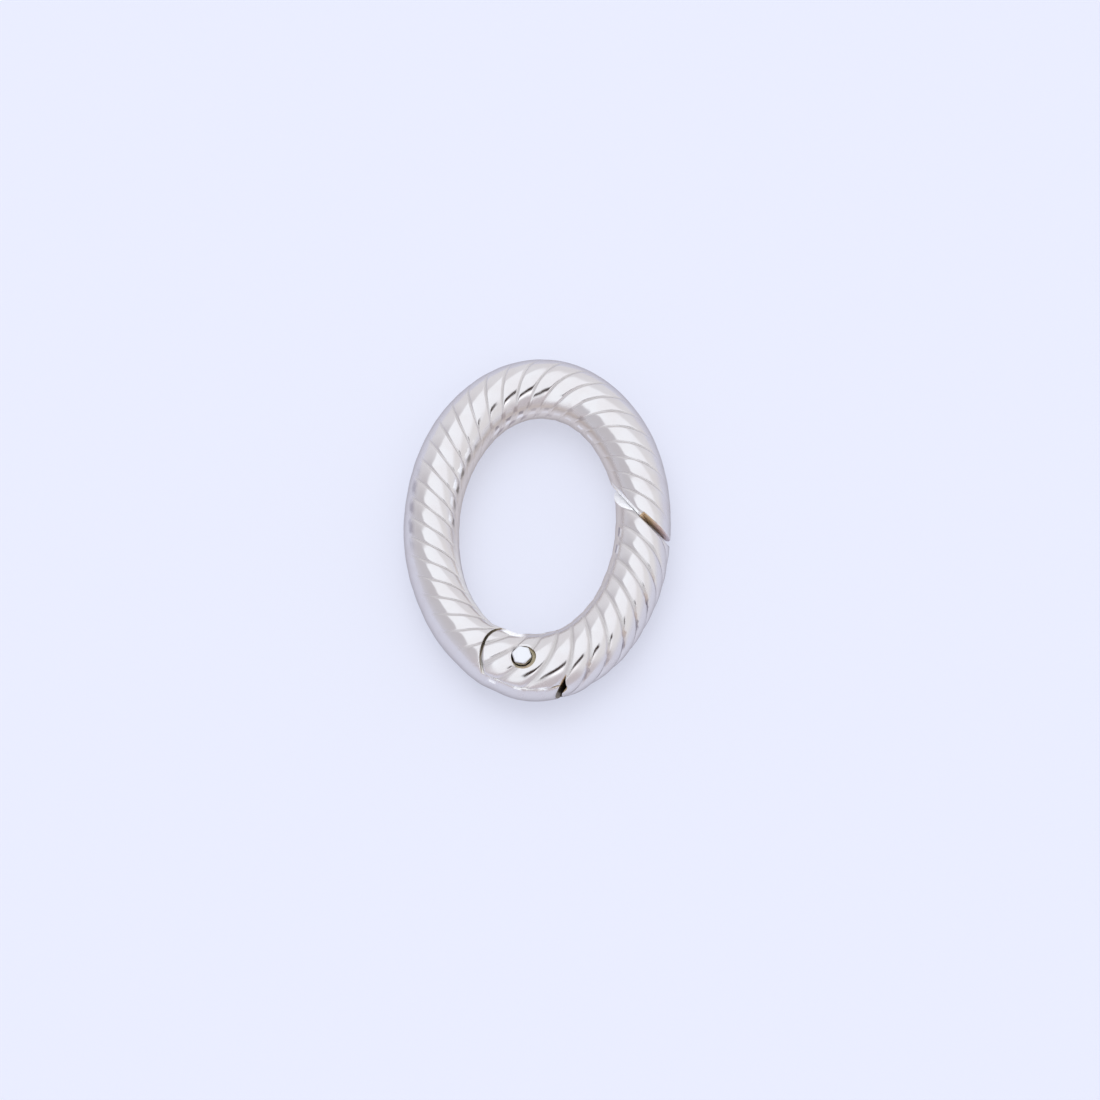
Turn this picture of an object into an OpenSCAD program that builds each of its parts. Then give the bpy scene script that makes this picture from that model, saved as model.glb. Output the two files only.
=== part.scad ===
// Oval push gate clasp: a ring cast in rope-twist wire, with a gate that swings inward on a pin.
// Millimetres. The ring lies flat on the table, +Z up, with its long axis along Y.
// The hinge is at the -Y end, and the gate runs from it up the +X side to a slanted cut.
// The origin is on the table, under the middle of the ring.
// Places along the wire are lengths from the far end of the oval, counted anticlockwise from above.

/* [Oval] */
// From the middle of the oval to the middle of the wire, across
oval_a = 6; // [5.6:0.1:7]
// From the middle of the oval to the middle of the wire, along
oval_b = 8.87; // [8.4:0.01:10]
// Half the thickness of the wire, from the table to its middle
wire_r = 1.57; // [1.5:0.01:1.7]

/* [Rope twist] */
// Number of strands laid round the wire
strands = 6; // [5:1:8]
// Depth of the groove between two strands
groove_depth = 0.07; // [0.05:0.01:0.2]
// How far the edge of a strand lies below its crown
lip_drop = 0.025; // [0:0.005:0.08]
// Length of wire from one groove to the next on the body
body_pitch = 1.152; // [1:0.001:1.4]
// Place of one groove on top of the body
body_groove = 36.93; // [36:0.01:38]
// Length of wire from one groove to the next on the gate
gate_pitch = 1.18; // [1:0.001:1.4]
// Place of one groove on top of the gate
gate_groove = 34.27; // [33:0.01:35]

/* [Slanted cut] */
// Angle round the oval of the cut between gate and body, from +X
cut_place = 5.2; // [0:0.1:10]
// Direction that the cut faces, seen from above, from +X
cut_turn = 42.8; // [35:0.1:50]
// Lean of the cut from upright
cut_lean = 19.7; // [0:0.1:25]
// Gap between the two faces where the gate stops against the body
cut_gap = 0.05; // [0.03:0.01:0.1]
// Direction that the outer half of the body's face is turned back to, so that it stands open there
relief_turn = 50.4; // [45:0.1:55]
// Lean of that outer half from upright
relief_lean = 8.8; // [5:0.1:15]
// Where that outer half begins, outward from the middle of the wire
relief_start = 0.15; // [0:0.05:0.4]

/* [Hinge] */
// Angle round the oval of the hinge pin, from +X
pin_place = 265; // [260:0.5:270]
// Radius of the hinge pin
pin_r = 0.55; // [0.4:0.01:0.6]
// Gap round the pin in the gate, where it turns
pin_running_gap = 0.05; // [0.02:0.01:0.1]
// Gap round the pin in the body's tongue, where it is held
pin_held_gap = 0.01; // [0.01:0.005:0.03]
// Height of the pin's head above the wire
pin_proud = 0.1; // [0:0.01:0.15]
// Radius of the recess round the pin's head
recess_r = 0.7; // [0.65:0.01:0.8]
// Depth of the recess round the pin's head
recess_depth = 0.25; // [0.1:0.01:0.4]
// Radius of the round end of the gate's cheeks
cheek_r = 2.22; // [2.1:0.01:2.3]
// Gap between the cheeks and the body's shoulder
shoulder_gap = 0.16; // [0.1:0.01:0.2]
// Half the thickness of the body's tongue
tongue_half = 0.72; // [0.5:0.01:0.8]
// Gap between the tongue and each cheek
tongue_gap = 0.04; // [0.03:0.01:0.1]
// Reach of the tongue from the pin
tongue_r = 2.63; // [2.5:0.01:2.8]
// Gap between the tongue's tip and the gate
tip_gap = 0.24; // [0.2:0.01:0.4]

/* [Hidden] */

// Half width of the wire seen from above: [angle round the oval, half width].
// It is fullest at the hinge, and thinnest on the body just before it.
WIRE_WIDTHS = [
    [0, 1.52], [45, 1.62], [90, 1.72], [135, 1.66], [180, 1.58], [215, 1.47], [235, 1.5],
    [252, 1.68], [270, 1.93], [284, 1.93], [300, 1.76], [330, 1.62], [360, 1.52],
];
// One strand across, from a groove to the next: [share of the pitch, depth below the crown]
STRAND = [[0, groove_depth], [0.1, lip_drop], [0.35, 0], [0.65, 0], [0.9, lip_drop]];

// Plane that bevels the gate's inner edge at the cut: [direction, rise, distance from the cut's middle]
GATE_BEVEL = [95.9, 46.8, 0.96];

ring_step = 0.4;
arc_steps = 360;
round_fn = 64;
// Half the size of the blocks that trim the wire
reach = 5;
// Length of wire past the middle of the cut, and past the round ends of the hinge, before trimming
cut_stub = 2.8;
round_stub = 0.9;

function oval(angle) = [oval_a * cos(angle), oval_b * sin(angle)];
function outward(angle) =
    let (n = [oval_b * cos(angle), oval_a * sin(angle)]) n / norm(n);

// Length of wire from the far end against angle round the oval
ARC = [for (k = 0, s = 0; k <= arc_steps; s = s + norm(oval(91 + k) - oval(90 + k)), k = k + 1)
    [s, 90 + k]];
oval_length = ARC[arc_steps][0];
function angle_at(s) = lookup(s - oval_length * floor(s / oval_length), ARC);
function length_at(angle) = lookup(angle < 90 ? angle + 360 : angle, [for (row = ARC) [row[1], row[0]]]);

// Width at an angle, eased from each row of the table to the next
function wire_width(angle) =
    let (
        a = angle - 360 * floor(angle / 360),
        i = max([for (k = [0 : len(WIRE_WIDTHS) - 2]) if (WIRE_WIDTHS[k][0] <= a) k]),
        low = WIRE_WIDTHS[i],
        high = WIRE_WIDTHS[i + 1],
        share = (a - low[0]) / (high[0] - low[0])
    )
    low[1] + (high[1] - low[1]) * (1 - cos(180 * share)) / 2;

// The hinge end is wider than the far end, so the oval sits a little off the origin.
oval_y = (wire_width(270) - wire_width(90)) / 2;

// Point on the wire: place s, angle round the wire phi (0 outward, 90 up), depth below the crown
function wire_point(s, phi, depth) =
    let (
        angle = angle_at(s),
        centre = oval(angle),
        out = outward(angle) * (wire_width(angle) - depth) * cos(phi)
    )
    [centre[0] + out[0], centre[1] + out[1] + oval_y, wire_r + (wire_r - depth) * sin(phi)];

// A stretch of twisted wire. Its edges follow the grooves, so each groove is a clean line.
module rope(from, to, pitch, groove) {
    columns = [for (strand = [0 : strands - 1], row = STRAND) [strand + row[0], row[1]]];
    n = len(columns);
    rings = ceil((to - from) / ring_step);
    step = (to - from) / rings;
    turn = 360 / (strands * pitch);
    points = [for (i = [0 : rings], c = columns)
        let (s = from + i * step)
        wire_point(s, 90 + (s - groove - c[0] * pitch) * turn, c[1])];
    sides = [for (i = [0 : rings - 1], j = [0 : n - 1])
        let (p = i * n + j, q = i * n + (j + 1) % n)
        each [[p, q, q + n], [p, q + n, p + n]]];
    caps = [[for (j = [n - 1 : -1 : 0]) j], [for (j = [0 : n - 1]) rings * n + j]];
    polyhedron(points = points, faces = concat(sides, caps), convexity = 8);
}

pin_s = length_at(pin_place);
cut_s = length_at(cut_place);

// Moves to the middle of the wire at a place on the oval
module at_wire(angle) {
    translate([oval(angle)[0], oval(angle)[1] + oval_y, wire_r]) children();
}

// Space past a plane near the cut, which faces turn and rise and lies out from the cut's middle
module past_plane(turn, rise, out, start = -reach) {
    at_wire(cut_place)
        rotate([0, -rise, turn])
            translate([out, start, -reach]) cube([reach, 2 * reach, 2 * reach]);
}

// Space past a round end of the wire, on one side of the pin: 1 towards the gate, -1 towards the body
module past_round(side, r) {
    difference() {
        translate([side > 0 ? 0 : -reach, -reach, -reach]) cube([reach, 2 * reach, 2 * reach]);
        cylinder(r = r, h = 3 * reach, center = true, $fn = round_fn);
    }
}

// Space that the gate's cheeks turn in, above and below the tongue
module cheek_space(r) {
    for (side = [-1, 1])
        translate([0, 0, side > 0 ? tongue_half : -tongue_half - reach]) {
            cylinder(r = r, h = reach, $fn = round_fn);
            translate([0, -reach, 0]) cube([reach, 2 * reach, reach]);
        }
}

module pin_hole(r) {
    cylinder(r = r, h = 2 * reach, center = true, $fn = round_fn);
}

module body() color([0.85, 0.85, 0.86]) {
    difference() {
        rope(cut_s - cut_stub, oval_length + pin_s + tongue_r + round_stub, body_pitch, body_groove);
        past_plane(cut_turn + 180, -cut_lean, -cut_gap / 2);
        past_plane(relief_turn + 180, -relief_lean, -cut_gap / 2, relief_start);
        at_wire(pin_place) {
            cheek_space(cheek_r + shoulder_gap);
            past_round(1, tongue_r);
            pin_hole(pin_r + pin_held_gap);
        }
    }
}

module gate() color([0.85, 0.85, 0.86]) {
    difference() {
        rope(pin_s - cheek_r - round_stub, cut_s + cut_stub, gate_pitch, gate_groove);
        past_plane(cut_turn, cut_lean, -cut_gap / 2);
        past_plane(GATE_BEVEL[0], GATE_BEVEL[1], GATE_BEVEL[2]);
        at_wire(pin_place) {
            past_round(-1, cheek_r);
            cylinder(r = tongue_r + tip_gap, h = 2 * (tongue_half + tongue_gap), center = true,
                $fn = round_fn);
            pin_hole(pin_r + pin_running_gap);
            translate([0, 0, wire_r - recess_depth]) cylinder(r = recess_r, h = reach, $fn = round_fn);
        }
    }
}

module hinge_pin() color([0.88, 0.88, 0.88]) {
    foot = 0.04;
    bevel = 0.06;
    top = 2 * wire_r + pin_proud;
    translate([oval(pin_place)[0], oval(pin_place)[1] + oval_y, 0])
        rotate_extrude($fn = round_fn)
            polygon([[0, foot], [pin_r - bevel, foot], [pin_r, foot + bevel],
                [pin_r, top - bevel], [pin_r - bevel, top], [0, top]]);
}

body();
gate();
hinge_pin();
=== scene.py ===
"""Looks of an oval push gate clasp: a ring of rope-twist silver wire whose gate swings in on a pin.

The shapes are worked out in millimetres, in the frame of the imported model, and turned to metres when a
piece is made. Places along the wire are lengths from the far end of the oval, anticlockwise from above.
Angles round the wire are 0 outward and 90 up.
"""
import math

import bmesh
import bpy
import numpy as np
from mathutils import Matrix, Vector, kdtree


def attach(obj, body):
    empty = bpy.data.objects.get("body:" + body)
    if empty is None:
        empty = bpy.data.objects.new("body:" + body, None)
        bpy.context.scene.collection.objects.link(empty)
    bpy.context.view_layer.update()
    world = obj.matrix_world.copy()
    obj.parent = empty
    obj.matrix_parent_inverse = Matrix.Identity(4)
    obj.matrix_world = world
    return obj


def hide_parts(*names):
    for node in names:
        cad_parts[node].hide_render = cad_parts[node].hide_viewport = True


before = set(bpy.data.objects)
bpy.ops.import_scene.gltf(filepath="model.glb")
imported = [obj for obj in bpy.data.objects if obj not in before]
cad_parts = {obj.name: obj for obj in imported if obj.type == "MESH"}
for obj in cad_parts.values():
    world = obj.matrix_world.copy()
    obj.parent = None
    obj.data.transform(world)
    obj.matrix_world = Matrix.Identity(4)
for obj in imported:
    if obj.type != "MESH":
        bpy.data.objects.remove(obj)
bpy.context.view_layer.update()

MM = 0.001

# The oval, the wire and the rope twist

OVAL_A = 6.0
OVAL_B = 8.87
WIRE_R = 1.57
# Angle round the oval, half width of the wire seen from above
WIRE_WIDTHS = (
    (0, 1.52), (45, 1.62), (90, 1.72), (135, 1.66), (180, 1.58), (215, 1.47), (235, 1.5),
    (252, 1.68), (270, 1.93), (284, 1.93), (300, 1.76), (330, 1.62), (360, 1.52),
)
STRANDS = 6
# Each piece's twist: length of wire from groove to groove, place of one groove on top, how far a strand's
# edges lie below its crown, the groove's depth, half its width as a share of the pitch, the share of the
# relief that is worn off the two flanks, and how far the strands lie off their regular place at the hinge
BODY_TWIST = {"pitch": 1.152, "groove": 36.93, "bulge": 0.045, "depth": 0.075, "half": 0.1,
              "outer_wear": 0.85, "inner_wear": 0.65, "hinge_shift": 0}
GATE_TWIST = {"pitch": 1.18, "groove": 34.27, "bulge": 0.065, "depth": 0.095, "half": 0.17,
              "outer_wear": 0.1, "inner_wear": 0.75, "hinge_shift": 0.3}

# The wire's inner side is fuller by the hinge: the angles round the oval that this sets in between, and its
# two parts, each with its height and the angles that it is gone at and full at
SWELL_START = (232, 250)
SWELLS = ((0.07, 275, 258), (0.1, 378, 358))
# How far out on a flank the strands' wear sets in and is full, as shares of the half width
FLANK = (0.3, 0.8)
# How far past the pin the strands' shift at the hinge sets in, and where it is full
SHIFT_SPAN = (2.6, 0.4)
# Unevenness of the hand polish: height of each wave, its waves along the wire and round it, and its phase
RIPPLES = ((0.003, 2.1, 2, 0.4), (0.0025, 4.7, -3, 2.1), (0.0015, 7.9, 5, 4.0))

# The slanted cut: its angle round the oval, the direction that it faces, its lean from upright and its gap

CUT_PLACE = 5.2
CUT_TURN = 42.8
CUT_LEAN = 19.7
CUT_GAP = 0.03
# The outer half of the body's face, turned back so that the cut stands open: its direction, its lean, and
# where it begins outward from the middle of the wire
RELIEF_TURN = 50.4
RELIEF_LEAN = 8.8
RELIEF_START = 0.15
# The gate's bevel: the direction and rise that its plane faces, and its distance from the cut's middle
GATE_BEVEL = {"turn": 95.9, "rise": 46.8, "out": 0.96}
# The body's own bevel beside the cut: its width, and the angles round the wire that it fades between
BODY_BEVEL_WIDTH = 0.18
BODY_BEVEL_SPAN = (98, 106, 160, 176)

# The hinge: the pin, the gaps round it in the gate and in the body's tongue, and the recess round its head

PIN_PLACE = 265
PIN_R = 0.55
RUNNING_GAP = 0.05
HELD_GAP = 0.01
RECESS_R = 0.71
RECESS_DEPTH = 0.25
RECESS_SHIFT = (0.1, -0.07)
# The round ends of the cheeks and of the shoulder behind them, the tongue, and the slot that it lies in
CHEEK_R = 2.22
SHOULDER_R = 2.38
TONGUE_HALF = 0.72
SLOT_HALF = 0.735
TONGUE_R = 2.63
SLOT_R = 2.87
# The notch that the saw left above the slot's end: direction from the pin, half its length, and its corners
# as [distance from the pin, height above the table]
NOTCH_TURN = -29
NOTCH_HALF = 0.45
NOTCH = (
    (2.6, 2.2), (2.6, 2.5), (2.64, 2.66), (2.68, 2.66), (2.8, 2.46),
    (2.9, 2.3), (3.0, 2.16), (3.0, 2.0), (2.85, 1.8),
)
# How much sharper than the others the slot's edges are, and those of the cut
SEAM_SHARP = 5
CUT_SHARP = 2

# Fineness of the meshes: length of wire from row to row, columns from a groove to the middle of a strand in
# shares of the pitch, the band beside an edge that is made finer and how often, and the steps in a circle

ROW_STEP = 0.12
COLUMNS = (0, 0.015, 0.03, 0.045, 0.06, 0.09, 0.14, 0.21, 0.3, 0.4, 0.5)
EDGE_BAND = 0.13
EDGE_PASSES = 2
ARC_STEPS = 96
# Points closer than this become one
WELD = 1e-5
# Radius of the soft edges at the joints, and the angle from which an edge inside a joint stays sharp
EDGE_ROUND = 0.04
SHARP_ANGLE = math.radians(20)
# Half the size of the blocks that trim the wire, and the length of wire past the cut and past the hinge's
# round ends before trimming
REACH = 5.0
CUT_STUB = 2.8
ROUND_STUB = 0.9


def oval(angle):
    """Point on the middle of the wire at an angle in degrees."""
    a = np.radians(angle)
    return np.stack([OVAL_A * np.cos(a), OVAL_B * np.sin(a)], -1)


def outward(angle):
    """Unit vector across the wire, away from the oval's middle."""
    a = np.radians(angle)
    n = np.stack([OVAL_B * np.cos(a), OVAL_A * np.sin(a)], -1)
    return n / np.linalg.norm(n, axis=-1, keepdims=True)


def wire_width(angle):
    """Half width of the wire at an angle, eased from each row of the table to the next."""
    rows = np.array(WIRE_WIDTHS, float)
    a = np.mod(angle, 360)
    i = np.clip(np.searchsorted(rows[:, 0], a, side="right") - 1, 0, len(rows) - 2)
    low, high = rows[i], rows[i + 1]
    share = (a - low[..., 0]) / (high[..., 0] - low[..., 0])
    return low[..., 1] + (high[..., 1] - low[..., 1]) * (1 - np.cos(np.pi * share)) / 2


# Angles that the oval's lengths are worked out at, and how many of them to step over for a rougher oval
ARC_ANGLES = np.linspace(90, 450, 3601)
ROUGH_STEP = 5
ARC_LENGTHS = np.concatenate(
    [[0], np.cumsum(np.linalg.norm(np.diff(oval(ARC_ANGLES), axis=0), axis=1))])
OVAL_LENGTH = ARC_LENGTHS[-1]
OVAL_Y = float(wire_width(270) - wire_width(90)) / 2


def angle_at(s):
    """Angles round the oval, from 90, at places along the wire."""
    return np.interp(np.mod(s, OVAL_LENGTH), ARC_LENGTHS, ARC_ANGLES)


def length_at(angle):
    """Places along the wire at angles round the oval."""
    return np.interp(np.where(angle < 90, angle + 360, angle), ARC_ANGLES, ARC_LENGTHS)


def smooth_step(x, start, end):
    """0 before start, 1 after end, and a smooth rise between. A start past the end turns it round."""
    t = np.clip((x - start) / (end - start), 0, 1)
    return t * t * (3 - 2 * t)


def inner_swell(angle):
    """How much fuller the wire is on its inner side, beside the hinge's shoulder and along the gate."""
    swell = sum(height * smooth_step(angle, gone, full) for height, gone, full in SWELLS)
    return smooth_step(angle, *SWELL_START) * swell


def wire_point(s, phi, depth):
    """Points on the wire at places s and angles phi, at a depth below its crown."""
    angle = angle_at(s)
    turn = np.radians(phi)
    half_width = wire_width(angle) + inner_swell(angle) * np.clip(-np.cos(turn), 0, 1)
    across = outward(angle) * ((half_width - depth) * np.cos(turn))[..., None]
    plan = oval(angle) + across
    return np.stack([plan[..., 0], plan[..., 1] + OVAL_Y, WIRE_R + (WIRE_R - depth) * np.sin(turn)], -1)


def strand_depth(u, phi, twist):
    """Depth below the crown across a strand, where u runs from one groove to the next."""
    from_crown = np.abs(np.mod(u, 1) - 0.5) * 2
    from_groove = np.clip((1 - from_crown) / (2 * twist["half"]), 0, 1)
    groove = (1 + np.cos(np.pi * from_groove)) / 2
    out = np.cos(np.radians(phi))
    wear = twist["outer_wear"] * smooth_step(out, *FLANK) + twist["inner_wear"] * smooth_step(-out, *FLANK)
    return (twist["bulge"] * from_crown ** 2 + (twist["depth"] - twist["bulge"]) * groove) * (1 - wear)


def place(angle):
    """The middle of the wire at an angle round the oval."""
    x, y = oval(angle)
    return Vector((float(x), float(y) + OVAL_Y, WIRE_R))


CUT_AT = place(CUT_PLACE)
PIN_AT = place(PIN_PLACE)
AT_PIN = Matrix.Translation(PIN_AT)
CUT_S = float(length_at(CUT_PLACE))
PIN_S = float(length_at(PIN_PLACE))


# Shapes that trim the wire, as meshes and as distances

def plane_frame(turn, rise):
    """Axes at the cut's middle, with X facing turn and rise."""
    return (Matrix.Translation(CUT_AT) @ Matrix.Rotation(math.radians(turn), 4, "Z")
            @ Matrix.Rotation(math.radians(-rise), 4, "Y"))


def past_plane(points, turn, rise, out, start=None):
    """How deep points lie past a plane near the cut. Points on the far side of the ring are left out."""
    local = (points - np.array(CUT_AT)) @ np.array(plane_frame(turn, rise).to_3x3())
    depth = local[..., 0] - out
    if start is not None:
        depth = np.minimum(depth, local[..., 1] - start)
    return np.where(np.linalg.norm(local, axis=-1) < REACH, depth, -REACH)


def from_pin(points):
    """How far points lie east of the pin's axis, from that axis, and from the wire's middle height."""
    local = points - np.array(PIN_AT)
    return local[..., 0], np.hypot(local[..., 0], local[..., 1]), np.abs(local[..., 2])


def body_trim(points):
    """How deep points lie inside what the joints take off the body. It is negative on the body."""
    x, r, z = from_pin(points)
    cheeks = np.minimum(SEAM_SHARP * (z - TONGUE_HALF), np.maximum(SHOULDER_R - r, x))
    hinge = np.maximum(cheeks, np.minimum(x, r - TONGUE_R))
    hinge = np.where(r < REACH, hinge, -REACH)
    return np.maximum.reduce([
        CUT_SHARP * past_plane(points, CUT_TURN + 180, -CUT_LEAN, -CUT_GAP / 2),
        past_plane(points, RELIEF_TURN + 180, -RELIEF_LEAN, -CUT_GAP / 2, RELIEF_START),
        hinge,
    ])


def gate_trim(points):
    """How deep points lie inside what the joints take off the gate. It is negative on the gate."""
    x, r, z = from_pin(points)
    hinge = np.maximum.reduce([
        np.minimum(-x, r - CHEEK_R),
        np.minimum(SEAM_SHARP * (SLOT_HALF - z), SLOT_R - r),
        RECESS_R - r,
    ])
    hinge = np.where(r < REACH, hinge, -REACH)
    return np.maximum(CUT_SHARP * past_plane(points, CUT_TURN, CUT_LEAN, -CUT_GAP / 2), hinge)


def arc(r, start, end):
    """Points on a circle round the pin, from angle start to end in degrees."""
    angles = np.radians(np.linspace(start, end, ARC_STEPS + 1))
    return [(r * math.cos(a), r * math.sin(a)) for a in angles]


def prism(profile, low, high, at):
    """A closed mesh object: the profile extruded from low to high, set at a matrix."""
    n = len(profile)
    verts = [(x, y, z) for z in (low, high) for x, y in profile]
    sides = [(i, (i + 1) % n, n + (i + 1) % n, n + i) for i in range(n)]
    faces = [tuple(range(n - 1, -1, -1)), tuple(range(n, 2 * n))] + sides
    mesh = bpy.data.meshes.new("cutter")
    mesh.from_pydata(verts, [], faces)
    mesh.transform(at)
    obj = bpy.data.objects.new("cutter", mesh)
    bpy.context.scene.collection.objects.link(obj)
    return obj


def plane_block(turn, rise, out, start=-REACH):
    """Cutter past a plane near the cut, which begins at start along the plane."""
    end = start + 2 * REACH
    box = [(out, start), (out + REACH, start), (out + REACH, end), (out, end)]
    return prism(box, -REACH, REACH, plane_frame(turn, rise))


def half_block(side):
    """Corners of the block on one side of the pin, 1 towards the gate and -1 towards the body."""
    far = side * REACH
    return [(0, -far), (far, -far), (far, far), (0, far)]


def past_round(side, r):
    """Cutter past a round end of the wire, on one side of the pin."""
    inner = arc(r, 90, -90) if side > 0 else arc(r, 270, 90)
    return prism(half_block(side) + inner, -REACH, REACH, AT_PIN)


def cheek_spaces():
    """Cutters for the room that the gate's cheeks turn in, above and below the tongue."""
    profile = half_block(1) + arc(SHOULDER_R, 90, 270)
    return [prism(profile, TONGUE_HALF, REACH, AT_PIN), prism(profile, -REACH, -TONGUE_HALF, AT_PIN)]


def pin_space(r, low=-REACH, high=REACH, shift=(0, 0)):
    """Round cutter about the pin, between two heights from the wire's middle, or off to one side."""
    return prism(arc(r, 0, 360)[:-1], low, high, AT_PIN @ Matrix.Translation((*shift, 0)))


def notch():
    """The prism of the notch, with its corners in the upright plane through the pin's axis."""
    upright = Matrix(((1, 0, 0, 0), (0, 0, -1, 0), (0, 1, 0, -WIRE_R), (0, 0, 0, 1)))
    turn = Matrix.Rotation(math.radians(NOTCH_TURN), 4, "Z")
    return prism(NOTCH[::-1], -NOTCH_HALF, NOTCH_HALF, AT_PIN @ turn @ upright)


# Meshes

def across_strand():
    """Shares of the pitch for one strand's columns, closest together beside the groove."""
    half = np.array(COLUMNS)
    return np.concatenate([half, 1 - half[-2:0:-1]])


def edge_drop(trim):
    """Depth that rounds the wire over beside its trimmed edges."""
    inside = np.clip(EDGE_ROUND + trim, 0, EDGE_ROUND)
    return EDGE_ROUND - np.sqrt(EDGE_ROUND ** 2 - inside ** 2)


def body_bevel(points, phi):
    """Depth of the narrow bevel along the inner half of the body's cut."""
    distance = -past_plane(points, CUT_TURN + 180, -CUT_LEAN, 0)
    start, full, ease, end = BODY_BEVEL_SPAN
    turn = np.mod(phi, 360)
    span = smooth_step(turn, start, full) * smooth_step(turn, end, ease)
    return np.clip(BODY_BEVEL_WIDTH - distance, 0, BODY_BEVEL_WIDTH) * span


def no_bevel(points, phi):
    """The gate's bevel is cut by a block, so its wire needs none."""
    return np.zeros(len(points))


def ripple(s, phi):
    """Slight unevenness of the hand polish."""
    turn = np.radians(phi)
    return sum(height * np.sin(along * s + round_it * turn + phase)
               for height, along, round_it, phase in RIPPLES)


def strand_turn(twist):
    """Degrees round the wire that a strand turns in a millimetre along it."""
    return 360 / (STRANDS * twist["pitch"])


def strand_shift(s, twist):
    """How far the strands lie off their regular place, which grows towards the hinge."""
    start, full = SHIFT_SPAN
    return twist["hinge_shift"] * smooth_step(s, PIN_S + start, PIN_S + full)


def rope(start, end, twist, trim, bevel):
    """A closed bmesh of twisted wire whose columns follow the strands, finer beside trimmed edges."""
    shares = np.concatenate([strand + across_strand() for strand in range(STRANDS)] + [[STRANDS]])
    rows = np.linspace(start, end, math.ceil((end - start) / ROW_STEP) + 1)
    n = len(shares)

    def around(flat):
        place_s = flat[:, 0] + strand_shift(flat[:, 0], twist)
        return 90 + (place_s - twist["groove"] - flat[:, 1] * twist["pitch"]) * strand_turn(twist)

    def on_wire(flat, depth):
        phi = around(flat)
        return wire_point(flat[:, 0], phi, depth + ripple(flat[:, 0], phi))

    flat = np.stack(np.meshgrid(rows, shares, indexing="ij"), -1).reshape(-1, 2)
    faces = [(i * n + j, i * n + j + 1, (i + 1) * n + j + 1, (i + 1) * n + j)
             for i in range(len(rows) - 1) for j in range(n - 1)]
    mesh = bpy.data.meshes.new("flat")
    mesh.from_pydata([(s, v, 0) for s, v in flat], [], faces)
    bm = bmesh.new()
    bm.from_mesh(mesh)
    bpy.data.meshes.remove(mesh)
    for _ in range(EDGE_PASSES):
        bm.verts.ensure_lookup_table()
        flat = np.array([v.co.xy for v in bm.verts])
        distance = np.abs(trim(on_wire(flat, strand_depth(flat[:, 1], around(flat), twist))))
        near = distance < EDGE_BAND
        edges = [e for e in bm.edges if near[e.verts[0].index] or near[e.verts[1].index]]
        bmesh.ops.subdivide_edges(bm, edges=edges, cuts=1, use_grid_fill=True)
        bm.verts.index_update()
    flat = np.array([v.co.xy for v in bm.verts])
    depth = strand_depth(flat[:, 1], around(flat), twist)
    points = on_wire(flat, depth)
    depth = depth + edge_drop(trim(points)) + bevel(points, around(flat))
    for v, co in zip(bm.verts, on_wire(flat, depth)):
        v.co = co
    bmesh.ops.remove_doubles(bm, verts=bm.verts, dist=WELD)
    bmesh.ops.holes_fill(bm, edges=[e for e in bm.edges if e.is_boundary], sides=0)
    bmesh.ops.recalc_face_normals(bm, faces=bm.faces)
    return bm


def trimmed(name, bm, cuts, twist, first_s):
    """The rope less its cutters, as an object in metres. Faces that a cutter leaves get its material."""
    mesh = bpy.data.meshes.new(name)
    bm.to_mesh(mesh)
    bm.free()
    mesh.materials.append(silver)
    obj = bpy.data.objects.new(name, mesh)
    bpy.context.scene.collection.objects.link(obj)
    for cutter, material in cuts:
        cutter.data.materials.append(material)
        step = obj.modifiers.new("trim", "BOOLEAN")
        step.object = cutter
        step.solver = "EXACT"
        step.material_mode = "TRANSFER"
    depsgraph = bpy.context.evaluated_depsgraph_get()
    obj.data = bpy.data.meshes.new_from_object(obj.evaluated_get(depsgraph))
    obj.data.name = name
    obj.modifiers.clear()
    bpy.data.meshes.remove(mesh)
    for cutter, _ in cuts:
        bpy.data.meshes.remove(cutter.data)
    finish_mesh(obj)
    wire_places(obj.data, twist, first_s)
    obj.data.transform(Matrix.Scale(MM, 4))
    return obj


def finish_mesh(obj):
    """Makes all faces smooth, with sharp edges round and between the trimmed ones."""
    bm = bmesh.new()
    bm.from_mesh(obj.data)
    wire = obj.data.materials.find(silver.name)
    for face in bm.faces:
        face.smooth = True
    for edge in bm.edges:
        kinds = {face.material_index for face in edge.link_faces}
        joint = wire not in kinds and edge.calc_face_angle(0) > SHARP_ANGLE
        edge.smooth = len(kinds) == 1 and not joint
    bm.to_mesh(obj.data)
    bm.free()


def wire_places(mesh, twist, first_s):
    """Stores each point's place along the wire, turn round it and strand, for the materials to follow.

    Places before first_s belong to the oval's next turn.
    """
    points = np.array([v.co for v in mesh.vertices])
    angles = ARC_ANGLES[:-1:ROUGH_STEP]
    middles = oval(angles) + np.array([0, OVAL_Y])
    tree = kdtree.KDTree(len(middles))
    for i, (x, y) in enumerate(middles):
        tree.insert((x, y, 0), i)
    tree.balance()
    nearest = np.array([tree.find((x, y, 0))[1] for x, y, _ in points])
    along_step = np.roll(middles, -1, axis=0)[nearest] - middles[nearest]
    share = ((points[:, :2] - middles[nearest]) * along_step).sum(1) / (along_step ** 2).sum(1)
    angle = angles[nearest] + share * (angles[1] - angles[0])
    s = length_at(angle)
    s = np.where(s < first_s, s + OVAL_LENGTH, s)
    out = ((points[:, :2] - middles[nearest]) * outward(angle)).sum(1)
    phi = np.degrees(np.arctan2((points[:, 2] - WIRE_R) / WIRE_R, out / wire_width(angle)))
    phi = np.where(phi < -90, phi + 360, phi)
    place_s = s + strand_shift(s, twist)
    strand = (place_s - twist["groove"] - (phi - 90) / strand_turn(twist)) / twist["pitch"]
    for name, values in (("along", s), ("around", phi), ("strand", strand)):
        layer = mesh.attributes.new(name, "FLOAT", "POINT")
        layer.data.foreach_set("value", values.astype(np.float32))


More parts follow.
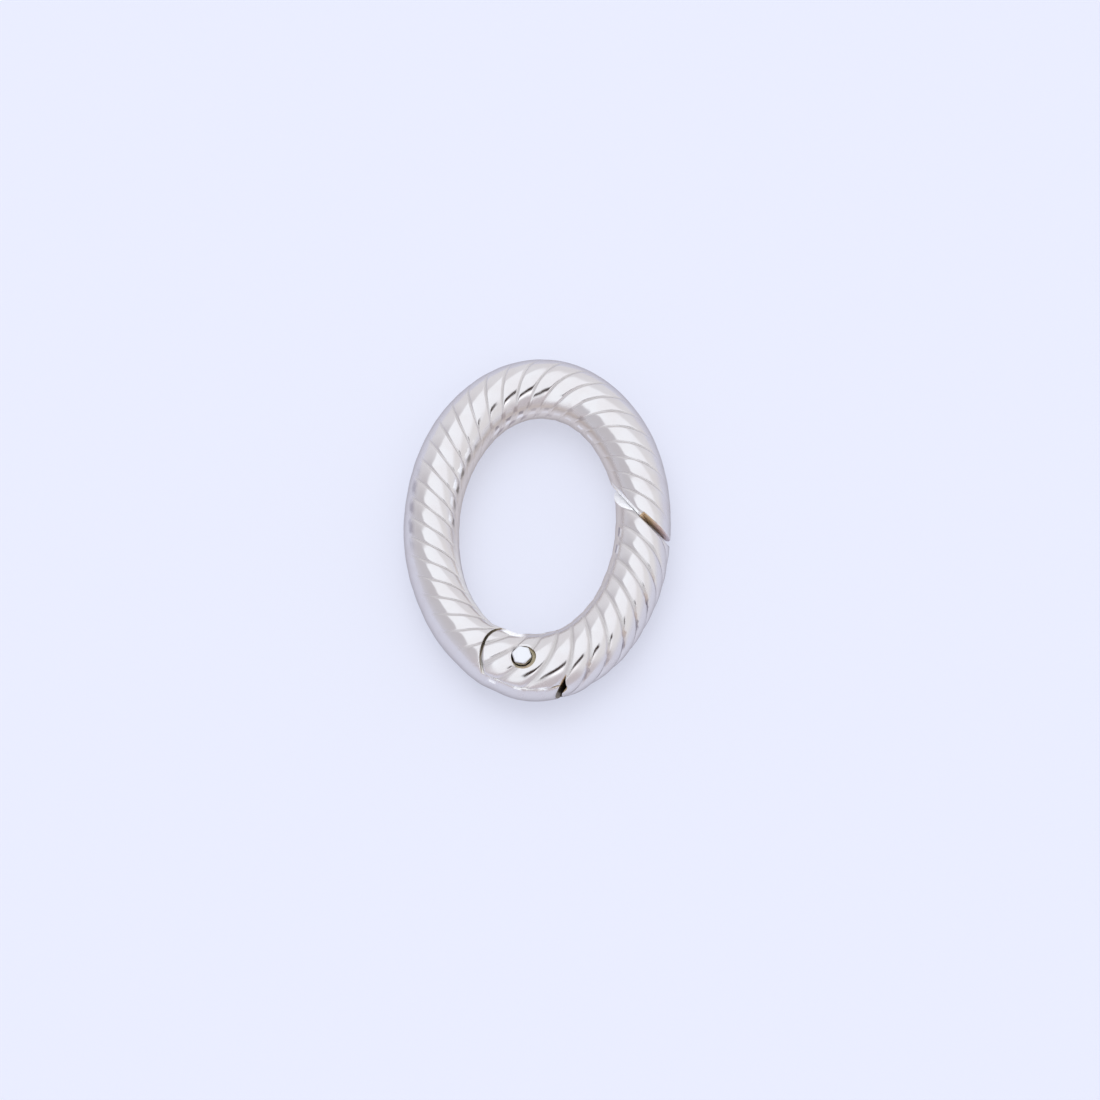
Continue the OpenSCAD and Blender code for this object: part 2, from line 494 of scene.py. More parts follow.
# The pin's rings: height above the table, radius less the pin's own, share of the six soft corners
PIN_RINGS = (
    (0.04, -0.06, 0), (0.055, -0.025, 0), (0.1, 0, 0), (2.86, 0, 0), (2.95, 0, 0.4), (3.05, 0, 1),
    (3.16, -0.005, 1), (3.205, -0.02, 1), (3.23, -0.05, 1), (3.238, -0.12, 0.8), (3.241, -0.3, 0.5),
)
# How far the middle of the filed top stands above its last ring
PIN_DOME = 0.002
# The head's sides: their number, how far out a side and its soft corners lie, as shares of the radius, and
# their turn
PIN_SIDES = 6
PIN_SIDE = 0.95
PIN_CORNER = 1.05
PIN_TURN = math.radians(50)
PIN_STEPS = 96


def pin_mesh():
    """The pin: round, with a head filed a little flat on six sides and at its top."""
    bm = bmesh.new()
    side_turn = 2 * math.pi / PIN_SIDES
    rings = []
    for height, inset, share in PIN_RINGS:
        ring = []
        for k in range(PIN_STEPS):
            a = 2 * math.pi * k / PIN_STEPS
            from_side = (a - PIN_TURN) % side_turn - side_turn / 2
            six_sided = min(PIN_CORNER, PIN_SIDE / math.cos(from_side))
            r = PIN_R * (1 - share + share * six_sided) + inset
            ring.append(bm.verts.new((PIN_AT.x + r * math.cos(a), PIN_AT.y + r * math.sin(a), height)))
        rings.append(ring)
    for low, high in zip(rings, rings[1:]):
        for k in range(PIN_STEPS):
            m = (k + 1) % PIN_STEPS
            bm.faces.new((low[k], low[m], high[m], high[k]))
    for ring, height in ((rings[0], PIN_RINGS[0][0]), (rings[-1], PIN_RINGS[-1][0] + PIN_DOME)):
        middle = bm.verts.new((PIN_AT.x, PIN_AT.y, height))
        for k in range(PIN_STEPS):
            bm.faces.new((ring[k], ring[(k + 1) % PIN_STEPS], middle))
    bmesh.ops.recalc_face_normals(bm, faces=bm.faces)
    for face in bm.faces:
        face.smooth = True
    mesh = bpy.data.meshes.new("hinge_pin_filed")
    bm.to_mesh(mesh)
    bm.free()
    mesh.transform(Matrix.Scale(MM, 4))
    return mesh


# Materials

class Nodes:
    """Short calls for the nodes of one material or world."""

    def __init__(self, tree):
        self.tree = tree

    def add(self, kind, **settings):
        node = self.tree.nodes.new(kind)
        for name, value in settings.items():
            setattr(node, name, value)
        return node

    def set(self, socket, value):
        """Links a socket to another's output, or gives it a number or a colour."""
        if isinstance(value, bpy.types.NodeSocket):
            self.tree.links.new(value, socket)
        elif isinstance(value, tuple) and len(socket.default_value) == 4:
            socket.default_value = (*value, 1)
        else:
            socket.default_value = value

    def math(self, operation, *values):
        node = self.add("ShaderNodeMath", operation=operation)
        for socket, value in zip(node.inputs, values):
            self.set(socket, value)
        return node.outputs[0]

    def product(self, first, *others):
        for value in others:
            first = self.math("MULTIPLY", first, value)
        return first

    def step(self, value, start, end, low=0.0, high=1.0):
        """low before start, high after end and smooth between, or turned round if start lies past end."""
        node = self.add("ShaderNodeMapRange", interpolation_type="SMOOTHSTEP")
        if start > end:
            start, end, low, high = end, start, high, low
        self.set(node.inputs["Value"], value)
        self.set(node.inputs["From Min"], start)
        self.set(node.inputs["From Max"], end)
        self.set(node.inputs["To Min"], low)
        self.set(node.inputs["To Max"], high)
        return node.outputs["Result"]

    def window(self, value, start, full, ease, end):
        """1 from full to ease, and 0 before start and after end."""
        return self.product(self.step(value, start, full), self.step(value, end, ease))

    def mix(self, share, a, b):
        node = self.add("ShaderNodeMix", data_type="RGBA")
        first, second = (socket for socket in node.inputs if socket.type == "RGBA")
        self.set(node.inputs["Factor"], share)
        self.set(first, a)
        self.set(second, b)
        return [socket for socket in node.outputs if socket.type == "RGBA"][0]

    def noise(self, vector, scale, detail, roughness=0.5):
        node = self.add("ShaderNodeTexNoise")
        self.set(node.inputs["Vector"], vector)
        self.set(node.inputs["Scale"], scale)
        self.set(node.inputs["Detail"], detail)
        self.set(node.inputs["Roughness"], roughness)
        return node.outputs["Fac"]

    def value(self, name):
        """A number that the mesh stores for each point."""
        return self.add("ShaderNodeAttribute", attribute_name=name).outputs["Fac"]

    def spot(self):
        """The place on the piece, in metres."""
        return self.add("ShaderNodeTexCoord").outputs["Object"]

    def vector(self, x, y, z):
        node = self.add("ShaderNodeCombineXYZ")
        for socket, value in zip(node.inputs, (x, y, z)):
            self.set(socket, value)
        return node.outputs[0]

    def parts(self, vector):
        node = self.add("ShaderNodeSeparateXYZ")
        self.set(node.inputs[0], vector)
        return node.outputs

    def compare(self, operation, a, b):
        """The distance between two vectors, or their dot product."""
        node = self.add("ShaderNodeVectorMath", operation=operation)
        self.set(node.inputs[0], a)
        self.set(node.inputs[1], b)
        return node.outputs["Value"]


def principled(name, **inputs):
    """A new metal material: its node helper and its shader, with the sockets that are the same all over."""
    material = bpy.data.materials.new(name)
    material.use_nodes = True
    tools = Nodes(material.node_tree)
    shader = material.node_tree.nodes["Principled BSDF"]
    for socket, value in inputs.items():
        tools.set(shader.inputs[socket.replace("_", " ")], value)
    return material, tools, shader


def bump(t, shader, height, distance, strength):
    """Raises the surface by a height of 0 to 1 times a distance in millimetres."""
    node = t.add("ShaderNodeBump")
    t.set(node.inputs["Height"], height)
    t.set(node.inputs["Distance"], MM * distance)
    t.set(node.inputs["Strength"], strength)
    t.set(shader.inputs["Normal"], node.outputs["Normal"])


def metres(lengths):
    return tuple(MM * length for length in lengths)


# Polished silver. Most pairs say where something fades in: across a strand in shares of the pitch, along
# the wire in millimetres, round it in degrees, or over a noise of 0 to 1. Noise scales are per metre, but
# the scratches' follow the strands.

SILVER = (0.75, 0.725, 0.725)
SILVER_WARM = (0.73, 0.695, 0.69)
SILVER_TINT = (0.66, 0.64, 0.64)
CLOUDS = {"scale": 900.0, "detail": 3.0}
CLOUD_FADE = (0.35, 0.7)
PATCHES = {"scale": 350.0, "detail": 2.0}
# The wire's inner side is warmer, and by the hinge brightened as a painted highlight that reaches its inner
# edge, down to a lower part painted dark as shade
SILVER_INSIDE = (0.79, 0.73, 0.675)
INSIDE_AROUND = (140.0, 152.0)
SILVER_BRIGHTENED = (0.97, 0.94, 0.88)
BRIGHTENED_ALONG = (59.5, 63.0)
BRIGHTENED_AROUND = (126.0, 139.0)
EDGE_SHADE_AROUND = (156.0, 160.0)
# Painted shade lies in the grooves, between the outer and inner flanks, wider on the gate, and in patches
PAINTED_SHADE = (0.66, 0.63, 0.62)
GROOVE_ACROSS = (0.11, 0.03)
GROOVE_AROUND = (30.0, 62.0, 112.0, 150.0)
GATE_GROOVE_ALONG = (36.0, 33.0)
GATE_GROOVE_WIDER = 1.8
GROOVE_SHADE_FADE = (0.25, 0.6)
GROOVE_SHADE_LEAST = 0.5
# Roughness from the polish, and what the grooves' painted shade and the wire's inner and outer sides add to
# it
POLISH_FADE = (0.3, 0.75)
POLISH_ROUGH = (0.09, 0.15)
GROOVE_SHADE_ROUGH = 0.4
INSIDE_ROUGH = {"around": (122.0, 146.0), "rough": 0.2}
OUTSIDE_ROUGH = {"around": (62.0, 42.0), "rough": 0.13}
SCRATCHES = {"scale": 1.6, "detail": 4.0, "roughness": 0.65}
SCRATCH_ALONG = 1.6
SCRATCH_ACROSS = 14.0
SCRATCH_SHARE = 0.6
SCRATCH_DEPTH = 0.004

# Painted reflections on the strands, dark dashes and white glints: where each fades in and out along the
# wire and round it, the distance from the groove that it fades in over, and its colour. The body's places
# along the wire run on past one whole turn of the oval.
PAINTED_REFLECTIONS = (
    {"along": (55.8, 57.0, 60.0, 61.4), "around": (31, 42, 44, 56), "across": (0.0, 0.42),
     "colour": (0.48, 0.45, 0.46)},
    {"along": (53.2, 54.0, 59.0, 60.2), "around": (128, 131, 136, 139), "across": (0.16, 0.38),
     "colour": (1.0, 1.0, 1.0)},
    {"along": (53.2, 54.0, 59.0, 60.2), "around": (138, 141, 144, 149), "across": (0.16, 0.4),
     "colour": (0.30, 0.28, 0.26)},
    {"along": (25.0, 26.4, 30.8, 32.2), "around": (14, 26, 36, 48), "across": (0.13, 0.03),
     "colour": (0.30, 0.27, 0.30)},
    {"along": (25.0, 26.4, 31.8, 33.2), "around": (34, 42, 46, 58), "across": (0.19, 0.04),
     "colour": (0.55, 0.45, 0.39)},
    {"along": (42.5, 44.0, 51.5, 53.5), "around": (135, 142, 148, 153), "across": (0.24, 0.08),
     "colour": (0.55, 0.50, 0.49)},
    {"along": (45.5, 46.5, 51.5, 53.0), "around": (153, 156, 159, 162), "across": (0.25, 0.4),
     "colour": (0.44, 0.39, 0.38)},
    {"along": (45.5, 46.5, 51.5, 53.0), "around": (168, 172, 177, 182), "across": (0.3, 0.15),
     "colour": (0.54, 0.48, 0.47)},
    {"along": (41.0, 42.5, 51.5, 53.0), "around": (161, 164, 168, 171), "across": (0.2, 0.32),
     "colour": (0.95, 0.92, 0.90)},
    {"along": (33.0, 33.3, 35.3, 35.6), "around": (139, 142, 145, 148), "across": (0.2, 0.3),
     "colour": (1.0, 1.0, 1.0)},
    {"along": (33.0, 33.3, 35.3, 35.6), "around": (147, 149, 152, 155), "across": (0.2, 0.3),
     "colour": (0.42, 0.39, 0.42)},
)
# How far the painted reflections' edges wander, in degrees round the wire and in strands, and how uneven
# they are
REFLECTION_EDGES = {"scale": 3000.0, "detail": 1.0}
REFLECTION_RAGGED_AROUND = 6
REFLECTION_RAGGED_ACROSS = 0.35
REFLECTION_FADE = (0.3, 0.6)
REFLECTION_LEAST = 0.35

# White places: the narrow filed bevel beside the cut, white partly as filed metal and partly as a painted
# highlight, and by the hinge painted glints, on the upper cheek's inner edge and as three spots at the
# slot's seam, which fade in and out along the wire from the pin and round the wire
FILED_AND_GLINT_WHITE = (1.0, 1.0, 1.0)
FILED_AND_GLINT_LESS_METAL = 0.9
GLINT_SPOTS = (
    {"along": (-2.1, -1.8, -0.6, 0.1), "around": (132, 137, 165, 170)},
    {"along": (-1.32, -1.18, -1.0, -0.86), "around": (14, 17, 21, 24)},
    {"along": (-0.22, -0.08, 0.1, 0.24), "around": (22, 25, 28, 31)},
    {"along": (0.8, 0.94, 1.12, 1.26), "around": (24, 27, 30, 33)},
)
# How the bevel's white fades, in shares of its width. The plane of the cut meets the far side of the ring
# too, so the white ends on the way there.
BEVEL_FADE = (0.0, 0.05, 0.8, 1.0)
BEVEL_ALONG = (OVAL_LENGTH / 2 + 20, OVAL_LENGTH / 2 + 18)


def body_bevel_mask(t, spot, along, around):
    """1 on the narrow bevel along the body's side of the cut, where the filed metal is left white, which
    also paints its highlight.
    """
    normal = plane_frame(CUT_TURN + 180, -CUT_LEAN).to_3x3() @ Vector((1, 0, 0))
    past_cut = t.compare("DOT_PRODUCT", spot, tuple(normal))
    distance = t.math("SUBTRACT", MM * CUT_AT.dot(normal), past_cut)
    fade = [MM * BODY_BEVEL_WIDTH * share for share in BEVEL_FADE]
    return t.product(t.window(distance, *fade), t.window(around, *BODY_BEVEL_SPAN),
                     t.step(along, *BEVEL_ALONG))


def wire_colour(t, along, around, clouds, groove_shade):
    """Cloudy silver, warmer on the inner side, painted brighter by the hinge as a highlight, with painted
    shade in the grooves and at the hinge's inner edge.
    """
    colour = t.mix(t.step(clouds, *CLOUD_FADE), SILVER, SILVER_WARM)
    colour = t.mix(t.step(around, *INSIDE_AROUND), colour, SILVER_INSIDE)
    # Painted highlight by the hinge's inner edge, ending in a painted dark line of shade at the edge
    brightened = t.product(t.step(along, *BRIGHTENED_ALONG), t.step(around, *BRIGHTENED_AROUND))
    colour = t.mix(brightened, colour, t.mix(t.step(around, *EDGE_SHADE_AROUND), SILVER_BRIGHTENED, PAINTED_SHADE))
    return t.mix(groove_shade, colour, PAINTED_SHADE)


def painted_reflection_colour(t, colour, spot, along, around, across, patches):
    """The colour with the painted reflections on it, dark dashes and white glints, uneven and with ragged
    edges.
    """
    uneven = t.step(patches, *REFLECTION_FADE, REFLECTION_LEAST, 1.0)
    ragged = t.math("SUBTRACT", t.noise(spot, **REFLECTION_EDGES), 0.5)
    around = t.math("ADD", around, t.math("MULTIPLY", ragged, REFLECTION_RAGGED_AROUND))
    across = t.math("ADD", across, t.math("MULTIPLY", ragged, REFLECTION_RAGGED_ACROSS))
    # Each is a painted reflection: a dark dash or a white glint
    for reflection in PAINTED_REFLECTIONS:
        patch = t.product(t.window(along, *reflection["along"]), t.window(around, *reflection["around"]),
                          uneven, t.step(across, *reflection["across"]))
        colour = t.mix(patch, colour, reflection["colour"])
    return colour


def wire_silver():
    """Polished cast silver: scratches along the strands, painted shade in the grooves, painted reflections,
    and the white filed bevel and painted glints.
    """
    material, t, shader = principled("silver", Specular_Tint=SILVER_TINT)
    along, around, strand = t.value("along"), t.value("around"), t.value("strand")
    spot = t.spot()
    across = t.math("PINGPONG", strand, 0.5)
    clouds = t.noise(spot, **CLOUDS)
    patches = t.noise(spot, **PATCHES)

    # Painted shade in the grooves, which are wider on the gate
    wider = t.step(along, *GATE_GROOVE_ALONG, 1.0, GATE_GROOVE_WIDER)
    groove_shade = t.product(t.step(t.math("DIVIDE", across, wider), *GROOVE_ACROSS),
                        t.window(around, *GROOVE_AROUND),
                        t.step(patches, *GROOVE_SHADE_FADE, GROOVE_SHADE_LEAST, 1.0))
    colour = wire_colour(t, along, around, clouds, groove_shade)
    colour = painted_reflection_colour(t, colour, spot, along, around, across, patches)

    # The white filed bevel, partly a painted highlight, and the painted glints by the hinge
    filed = body_bevel_mask(t, spot, along, around)
    past_pin = t.math("SUBTRACT", t.math("MODULO", along, OVAL_LENGTH), PIN_S)
    for mark in GLINT_SPOTS:
        on_mark = t.product(t.window(past_pin, *mark["along"]), t.window(around, *mark["around"]))
        filed = t.math("MAXIMUM", filed, on_mark)
    t.set(shader.inputs["Base Color"], t.mix(filed, colour, FILED_AND_GLINT_WHITE))
    t.set(shader.inputs["Metallic"], t.math("SUBTRACT", 1.0, t.math("MULTIPLY", filed, FILED_AND_GLINT_LESS_METAL)))

    rough = t.math("ADD", t.step(clouds, *POLISH_FADE, *POLISH_ROUGH),
                   t.math("MULTIPLY", groove_shade, GROOVE_SHADE_ROUGH))
    for side in (INSIDE_ROUGH, OUTSIDE_ROUGH):
        rough = t.math("ADD", rough, t.step(around, *side["around"], 0.0, side["rough"]))
    t.set(shader.inputs["Roughness"], rough)

    on_strand = t.vector(t.math("MULTIPLY", along, SCRATCH_ALONG),
                         t.math("MULTIPLY", strand, SCRATCH_ACROSS), 0.0)
    scratches = t.math("MULTIPLY", t.noise(on_strand, **SCRATCHES), SCRATCH_SHARE)
    bump(t, shader, t.math("ADD", scratches, clouds), SCRATCH_DEPTH, strength=0.5)
    return material


# Filed silver, on the closed faces of the cut and the gate's bevel

CUT_COLOURS = ((1.0, 1.0, 1.0), (0.95, 0.95, 0.96))
CUT_METAL = 0.1
CUT_GRAIN = {"scale": 2500.0, "detail": 3.0}
CUT_FADE = (0.3, 0.7)
CUT_ROUGH = (0.4, 0.55)
CUT_GRAIN_DEPTH = 0.003


def cut_silver():
    """Filed silver, left matt and white."""
    material, t, shader = principled("cut_silver", Metallic=CUT_METAL)
    grain = t.noise(t.spot(), **CUT_GRAIN)
    t.set(shader.inputs["Base Color"], t.mix(t.step(grain, *CUT_FADE), *CUT_COLOURS))
    t.set(shader.inputs["Roughness"], t.step(grain, *CUT_FADE, *CUT_ROUGH))
    bump(t, shader, grain, CUT_GRAIN_DEPTH, strength=0.5)
    return material


# Silver inside the joints: its tarnished colours, the heights above the table that its colour turns darker
# between, and the level faces by the slot's seam that are painted white as the seam's glint, by how far
# they lie from the pin's axis and by their height

GAP_COLOURS = ((0.52, 0.41, 0.30), (0.40, 0.35, 0.24))
GAP_PATCHES = {"scale": 1100.0, "detail": 4.0, "roughness": 0.6}
GAP_FADE = (0.35, 0.65)
GAP_DEEP = (0.20, 0.16, 0.11)
GAP_DEEP_HEIGHT = (2.2, 1.7)
SEAM_GLINT_COLOUR = (0.9, 0.89, 0.88)
SEAM_GLINT_LEVEL = (0.8, 0.9)
SEAM_GLINT_R = (2.37, 2.28)
SEAM_GLINT_HEIGHT = (2.2, 2.25, 2.35, 2.4)
SEAM_GLINT_LESS_METAL = 0.8
GAP_ROUGH_FADE = (0.3, 0.7)
GAP_ROUGH = (0.3, 0.5)
TARNISH_DEPTH = 0.012


def gap_silver():
    """Silver inside the joints: tarnished brown, darker low down, and painted white by the slot's seam as
    its glint.
    """
    material, t, shader = principled("gap_silver")
    spot = t.spot()
    height = t.parts(spot)["Z"]
    patches = t.noise(spot, **GAP_PATCHES)
    colour = t.mix(t.step(patches, *GAP_FADE), *GAP_COLOURS)
    colour = t.mix(t.step(height, *metres(GAP_DEEP_HEIGHT)), colour, GAP_DEEP)
    facing = t.parts(t.add("ShaderNodeNewGeometry").outputs["True Normal"])["Z"]
    from_axis = t.compare("DISTANCE", spot, metres((PIN_AT.x, PIN_AT.y, WIRE_R + TONGUE_HALF)))
    # The level faces by the slot's seam are painted white: a painted glint along the seam
    seam_glint = t.product(t.step(t.math("ABSOLUTE", facing), *SEAM_GLINT_LEVEL),
                       t.step(from_axis, *metres(SEAM_GLINT_R)), t.window(height, *metres(SEAM_GLINT_HEIGHT)))
    t.set(shader.inputs["Base Color"], t.mix(seam_glint, colour, SEAM_GLINT_COLOUR))
    t.set(shader.inputs["Metallic"], t.math("SUBTRACT", 1.0, t.math("MULTIPLY", seam_glint, SEAM_GLINT_LESS_METAL)))
    t.set(shader.inputs["Roughness"], t.step(patches, *GAP_ROUGH_FADE, *GAP_ROUGH))
    bump(t, shader, patches, TARNISH_DEPTH, strength=0.6)
    return material


# Stained silver, on the open part of the cut's face and in the notch: how far east of the oval's middle its
# colours change, and how far that wanders

STAINED_TAN = (0.84, 0.66, 0.44)
STAINED_PINK = (0.72, 0.55, 0.49)
STAINED_GREY = (0.78, 0.71, 0.77)
STAINED_PATCHES = {"scale": 2200.0, "detail": 3.0, "roughness": 0.6}
STAINED_WANDER = 0.5
TAN_TO_PINK = (6.3, 6.8)
PINK_TO_GREY = (6.9, 7.4)
STAINED_ROUGH_FADE = (0.3, 0.7)
STAINED_ROUGH = (0.5, 0.75)


def stained_silver():
    """Unpolished, stained silver: tan by the wire's crown and pink, then grey, outward."""
    material, t, shader = principled("stained_silver", Metallic=0.0)
    spot = t.spot()
    patches = t.noise(spot, **STAINED_PATCHES)
    wander = t.math("MULTIPLY", t.math("SUBTRACT", patches, 0.5), MM * STAINED_WANDER)
    east = t.math("ADD", t.parts(spot)["X"], wander)
    colour = t.mix(t.step(east, *metres(TAN_TO_PINK)), STAINED_TAN, STAINED_PINK)
    colour = t.mix(t.step(east, *metres(PINK_TO_GREY)), colour, STAINED_GREY)
    t.set(shader.inputs["Base Color"], colour)
    t.set(shader.inputs["Roughness"], t.step(patches, *STAINED_ROUGH_FADE, *STAINED_ROUGH))
    bump(t, shader, patches, TARNISH_DEPTH, strength=0.6)
    return material


# The pin's file marks: their direction, their scales across, along and down, and their depth

PIN_COLOURS = ((0.72, 0.72, 0.745), (0.80, 0.80, 0.82))
FILE_TURN = math.radians(35)
FILE_SCALES = (9000, 700, 900)
FILE_MARKS = {"scale": 1.0, "detail": 3.0}
FILE_FADE = (0.3, 0.7)
PIN_ROUGH = (0.12, 0.22)
FILE_DEPTH = 0.002


def pin_silver():
    """The pin's filed head: fine straight file marks on white metal."""
    material, t, shader = principled("pin_silver", Metallic=1.0)
    stretch = t.add("ShaderNodeMapping")
    t.set(stretch.inputs["Vector"], t.spot())
    stretch.inputs["Rotation"].default_value = (0, 0, FILE_TURN)
    stretch.inputs["Scale"].default_value = FILE_SCALES
    marks = t.noise(stretch.outputs[0], **FILE_MARKS)
    t.set(shader.inputs["Base Color"], t.mix(marks, *PIN_COLOURS))
    t.set(shader.inputs["Roughness"], t.step(marks, *FILE_FADE, *PIN_ROUGH))
    bump(t, shader, marks, FILE_DEPTH, strength=0.5)
    return material


silver = wire_silver()
bright = cut_silver()
dull = gap_silver()
stained = stained_silver()

# Pieces

# Slack before the start of the body's wire, below which a place is on the oval's next turn
START_SLACK = 1

body_start = CUT_S - CUT_STUB
body = trimmed(
    "body_rope",
    rope(body_start, OVAL_LENGTH + PIN_S + TONGUE_R + ROUND_STUB, BODY_TWIST, body_trim, body_bevel),
    [
        (plane_block(CUT_TURN + 180, -CUT_LEAN, -CUT_GAP / 2), bright),
        (plane_block(RELIEF_TURN + 180, -RELIEF_LEAN, -CUT_GAP / 2, RELIEF_START), stained),
        *((space, dull) for space in cheek_spaces()),
        (past_round(1, TONGUE_R), dull),
        (pin_space(PIN_R + HELD_GAP), dull),
    ],
    BODY_TWIST, first_s=body_start - START_SLACK,
)
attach(body, "ring")
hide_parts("body")

gate_start = PIN_S - CHEEK_R - ROUND_STUB
gate = trimmed(
    "gate_rope",
    rope(gate_start, CUT_S + CUT_STUB, GATE_TWIST, gate_trim, no_bevel),
    [
        (plane_block(**GATE_BEVEL), bright),
        (plane_block(CUT_TURN, CUT_LEAN, -CUT_GAP / 2), bright),
        (past_round(-1, CHEEK_R), dull),
        (pin_space(RECESS_R, WIRE_R - RECESS_DEPTH, REACH, RECESS_SHIFT), dull),
        (pin_space(SLOT_R, -SLOT_HALF, SLOT_HALF), dull),
        (notch(), stained),
        (pin_space(PIN_R + RUNNING_GAP), dull),
    ],
    GATE_TWIST, first_s=0,
)
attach(gate, "gate")
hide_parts("gate")

pin = bpy.data.objects.new("hinge_pin_filed", pin_mesh())
pin.data.materials.append(pin_silver())
bpy.context.scene.collection.objects.link(pin)
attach(pin, "ring")
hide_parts("hinge_pin")

# Floor: pale paper that gives off some light itself, so that shadows on it stay faint

FLOOR_HALF = 0.4
FLOOR_LIT = 0.55
FLOOR_COLOUR = (0.79, 0.81, 0.93)

floor_corners = [(FLOOR_HALF * x, FLOOR_HALF * y, 0) for x, y in ((-1, -1), (1, -1), (1, 1), (-1, 1))]
floor_mesh = bpy.data.meshes.new("floor")
floor_mesh.from_pydata(floor_corners, [], [(0, 1, 2, 3)])
floor = bpy.data.objects.new("floor", floor_mesh)
bpy.context.scene.collection.objects.link(floor)
floor_paper, _, _ = principled(
    "floor_paper", Base_Color=tuple(c * (1 - FLOOR_LIT) for c in FLOOR_COLOUR), Roughness=0.95,
    Specular_IOR_Level=0.0, Emission_Color=FLOOR_COLOUR, Emission_Strength=FLOOR_LIT)
floor_mesh.materials.append(floor_paper)

# Light: a pale room with a soft white panel above, which is brightest at its left edge, and in it the dark
# shape of a camera and a small bright window. Each direction has its parts east, north and high, and each
# fade is a pair of these parts, or four where it fades out again.

ROOM_LEFT = (0.69, 0.685, 0.735)
ROOM_RIGHT = (0.95, 0.955, 0.985)
ROOM_EAST = (-0.6, 0.5)
LOW_LEFT = (0.74, 0.745, 0.83)
LOW_RIGHT = (0.82, 0.84, 0.95)
LOW_EAST = (-0.6, 0.3)
LOW_HIGH = (0.5, 0.0)
ROOM_FAR = (0.91, 0.92, 0.97)
FAR_NORTH = (0.35, 0.85)
ROOM_FRONT = (0.69, 0.65, 0.695)
FRONT_NORTH = (-0.42, -0.65)

PANEL_EDGE = (1.16, 1.21, 1.28)
PANEL_FAR = (1.12, 1.15, 1.22)
PANEL_EAST = (-0.6, 0.7)
PANEL_HIGH = (0.0, 0.06)
PANEL_LEFT = (-0.63, -0.57)
PANEL_RIGHT = (0.72, 0.42)
PANEL_FRONT = (-0.58, -0.48)
# The panel's slanted edges: the share of east and of north that each runs across, and its fade
PANEL_SLANTS = (
    {"slant": (0.58, -0.82), "fade": (-0.74, -0.66)},
    {"slant": (0.6, 0.8), "fade": (0.78, 0.62)},
    {"slant": (-0.5, 0.87), "fade": (-0.76, -0.66)},
)

# The window and the camera lie side by side, turned by the same angle
LENGTHWAYS = (0.74, 0.67)
SIDEWAYS = (-0.67, 0.74)
WINDOW = (1.5, 1.5, 1.55)
WINDOW_LENGTH = (-0.3, -0.24, 0.1, 0.16)
WINDOW_WIDTH = (-0.64, -0.61, -0.55, -0.52)
CAMERA_DARK = (0.05, 0.03, 0.025)
CAMERA_LENGTH = (-0.56, -0.48, 0.25, 0.36)
CAMERA_WIDTH = (-0.5, -0.47, -0.33, -0.29)
CAMERA_HIGH = (0.0, 0.1)


def slant(w, east, north, share):
    return w.math("ADD", w.math("MULTIPLY", east, share[0]), w.math("MULTIPLY", north, share[1]))


def room_colour(w, east, north, high):
    """The pale room: darker to the left, with its own colours low down, beyond the ring and in front."""
    room = w.mix(w.step(east, *ROOM_EAST), ROOM_LEFT, ROOM_RIGHT)
    room = w.mix(w.step(high, *LOW_HIGH), room, w.mix(w.step(east, *LOW_EAST), LOW_LEFT, LOW_RIGHT))
    room = w.mix(w.step(north, *FAR_NORTH), room, ROOM_FAR)
    return w.mix(w.step(north, *FRONT_NORTH), room, ROOM_FRONT)


def panel_mask(w, east, north, high):
    """1 on the white panel."""
    edges = [w.step(slant(w, east, north, edge["slant"]), *edge["fade"]) for edge in PANEL_SLANTS]
    return w.product(
        w.step(east, *PANEL_LEFT), w.step(east, *PANEL_RIGHT), *edges,
        w.step(w.math("ADD", north, high), *PANEL_FRONT), w.step(high, *PANEL_HIGH))


def sky_colour(w):
    """The room, the panel in it, and the window and the camera in front of them."""
    east, north, high = w.parts(w.add("ShaderNodeTexCoord").outputs["Generated"])
    panel = w.mix(w.step(east, *PANEL_EAST), PANEL_EDGE, PANEL_FAR)
    sky = w.mix(panel_mask(w, east, north, high), room_colour(w, east, north, high), panel)
    lengthways = slant(w, east, north, LENGTHWAYS)
    sideways = slant(w, east, north, SIDEWAYS)
    window = w.product(w.window(lengthways, *WINDOW_LENGTH), w.window(sideways, *WINDOW_WIDTH))
    sky = w.mix(window, sky, WINDOW)
    camera_shape = w.product(w.window(lengthways, *CAMERA_LENGTH), w.window(sideways, *CAMERA_WIDTH),
                             w.step(high, *CAMERA_HIGH))
    return w.mix(camera_shape, sky, CAMERA_DARK)


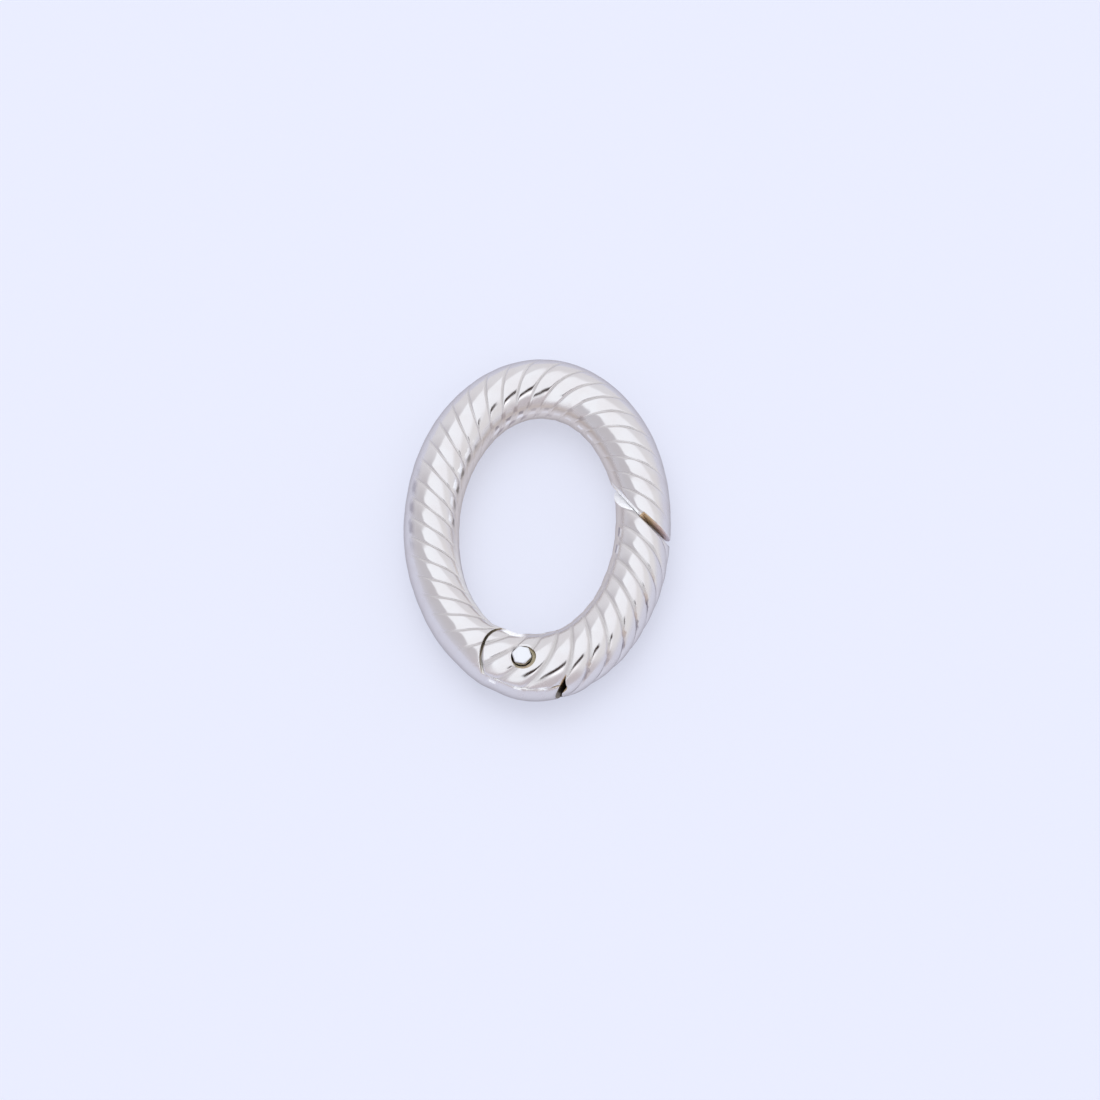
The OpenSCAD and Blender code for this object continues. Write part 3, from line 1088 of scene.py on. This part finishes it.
world = bpy.data.worlds.new("studio")
bpy.context.scene.world = world
world.use_nodes = True
background = world.node_tree.nodes["Background"]
world_nodes = Nodes(world.node_tree)
world_nodes.set(background.inputs["Color"], sky_colour(world_nodes))
background.inputs["Strength"].default_value = 1

# A wide soft lamp beyond the ring and to its left. The metal doesn't mirror it, and on the floor the ring
# shades it a little.

LAMP_STRENGTH = 0.6
LAMP_SPREAD = math.radians(50)
LAMP_FROM = Vector((-0.25, 0.55, 1))

lamp = bpy.data.objects.new("lamp", bpy.data.lights.new("lamp", "SUN"))
lamp.data.energy = LAMP_STRENGTH
lamp.data.angle = LAMP_SPREAD
lamp.rotation_euler = LAMP_FROM.to_track_quat("Z", "Y").to_euler()
lamp.visible_glossy = False
bpy.context.scene.collection.objects.link(lamp)

bpy.context.scene.view_settings.view_transform = "Standard"

# Camera: a long lens, 63 degrees above the table, a little round towards the gate's side, and where the
# photo shows the middle of the oval, in pixels

PHOTO_PIXELS_PER_MM = 17.7
PHOTO_SIZE = 1100
PHOTO_OVAL_MIDDLE = (537.65, 528.29)
CAMERA_RISE = math.radians(63)
CAMERA_ROUND = math.radians(2.4)
CAMERA_DISTANCE = 1200.0
SENSOR = 36.0
CLIP = (0.1, 10)

right = Vector((math.cos(CAMERA_ROUND), math.sin(CAMERA_ROUND), 0))
ahead = Vector((-math.sin(CAMERA_ROUND), math.cos(CAMERA_ROUND), 0))
middle_x, middle_y = ((PHOTO_SIZE / 2 - c) / PHOTO_PIXELS_PER_MM for c in PHOTO_OVAL_MIDDLE)
target = Vector((0, OVAL_Y, WIRE_R)) + right * middle_x - ahead * (middle_y / math.sin(CAMERA_RISE))
towards_camera = Vector((0, 0, math.sin(CAMERA_RISE))) - ahead * math.cos(CAMERA_RISE)

lens = bpy.data.cameras.new("camera")
lens.sensor_width = SENSOR
lens.lens = SENSOR * CAMERA_DISTANCE * PHOTO_PIXELS_PER_MM / PHOTO_SIZE
lens.clip_start, lens.clip_end = CLIP
camera = bpy.data.objects.new("camera", lens)
bpy.context.scene.collection.objects.link(camera)
camera.location = (target + towards_camera * CAMERA_DISTANCE) * MM
camera.rotation_euler = towards_camera.to_track_quat("Z", "Y").to_euler()
bpy.context.scene.camera = camera
